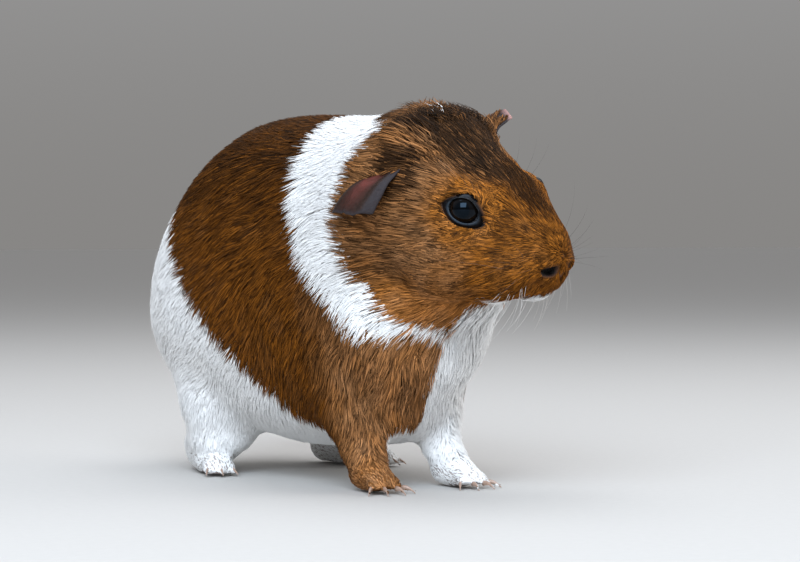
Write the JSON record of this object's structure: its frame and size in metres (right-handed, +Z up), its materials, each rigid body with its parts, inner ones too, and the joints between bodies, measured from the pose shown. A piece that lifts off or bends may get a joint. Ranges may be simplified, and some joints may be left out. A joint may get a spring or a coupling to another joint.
{
  "type": "guinea pig",
  "caption": "Life-size short-haired guinea pig standing with its head turned a little to its left; brown and orange ticked coat with a white collar, throat and rump.",
  "frame": {"origin": "middle of the whole animal's box, on the floor it stands on", "axes": "+Z is up, -Y is the way the trunk faces, +X is the animal's left side; the head is turned a little to the left"},
  "size_m": [0.094, 0.1944, 0.1242],
  "materials": {
    "head_coat": "dense lying hair, brown ticked with black and orange",
    "neck_coat": "dense lying hair, white",
    "trunk_coat": "dense lying hair, brown saddle and white rump",
    "foreleg_left_coat": "short hair, white",
    "foreleg_right_coat": "short hair, orange brown",
    "hindleg_left_coat": "short hair, white",
    "hindleg_right_coat": "short hair, white",
    "forefoot_left_skin": "naked sole and thinly haired toes, pink",
    "forefoot_right_skin": "naked sole and thinly haired toes, dusky",
    "hindfoot_left_skin": "naked sole and thinly haired toes, pink",
    "hindfoot_right_skin": "naked sole and thinly haired toes, pink",
    "ear_left_skin": "thin naked skin, dark grey brown",
    "ear_right_skin": "thin naked skin, dark grey brown",
    "eye_left_surface": "wet, near black",
    "eye_right_surface": "wet, near black"
  },
  "bodies": {
    "root": {"head": "head_coat", "neck": "neck_coat", "trunk": "trunk_coat", "foreleg_left": "foreleg_left_coat", "foreleg_right": "foreleg_right_coat", "hindleg_left": "hindleg_left_coat", "hindleg_right": "hindleg_right_coat", "forefoot_left": "forefoot_left_skin", "forefoot_right": "forefoot_right_skin", "hindfoot_left": "hindfoot_left_skin", "hindfoot_right": "hindfoot_right_skin", "ear_left": "ear_left_skin", "ear_right": "ear_right_skin", "eye_left": "eye_left_surface", "eye_right": "eye_right_surface"}
  },
  "joints": []
}
